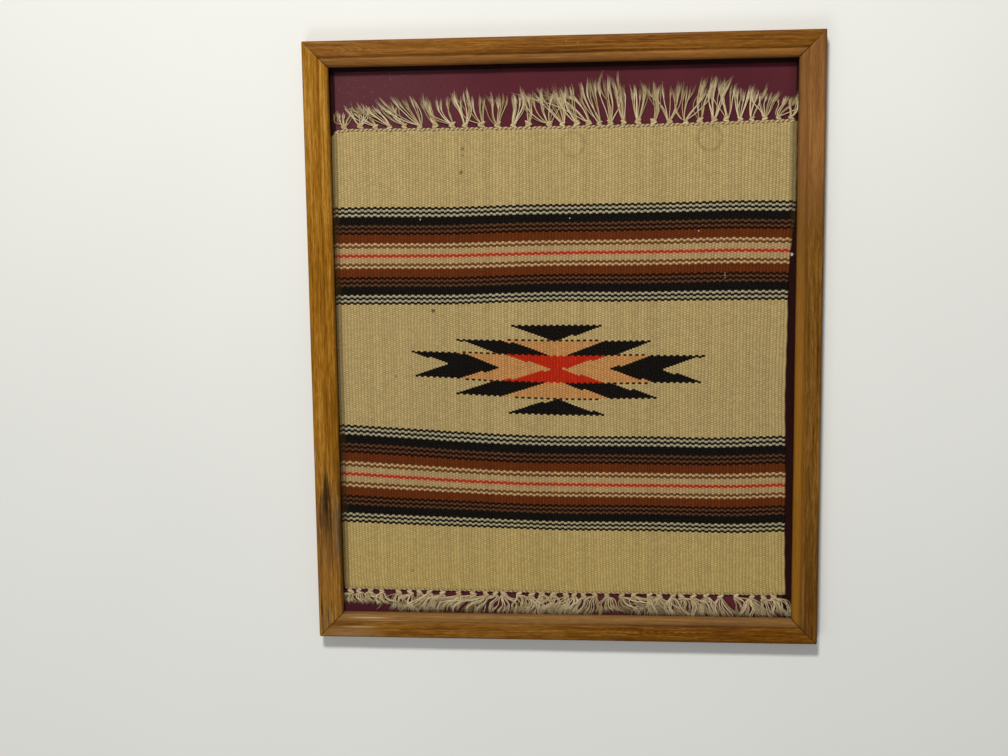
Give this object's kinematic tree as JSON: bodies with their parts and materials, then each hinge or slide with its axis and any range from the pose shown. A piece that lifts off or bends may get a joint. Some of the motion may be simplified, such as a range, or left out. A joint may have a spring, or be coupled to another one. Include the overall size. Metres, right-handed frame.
{
  "type": "woven textile in a wooden picture frame",
  "caption": "Flat woven mat with knotted fringes and a serrated centre motif, under glass in a mitred oak picture frame, lying on its back.",
  "frame": {"origin": "middle of the flat back, which rests on the surface", "axes": "+X to the right of the picture, +Y up the picture, +Z out of its face"},
  "size_m": [0.551, 0.655, 0.019],
  "materials": {
    "oak": "satin varnish over open grain",
    "glass": "clear picture glass, lightly smudged",
    "board": "matt burgundy facing",
    "wool": "weft-faced plain weave",
    "cotton": "soft plied yarn, frayed at the tips"
  },
  "bodies": {
    "root": {"frame_top": "oak", "frame_bottom": "oak", "frame_left": "oak", "frame_right": "oak", "glass": "glass", "backing_board": "board", "textile": "wool", "fringe_top": "cotton", "fringe_bottom": "cotton"}
  },
  "joints": []
}
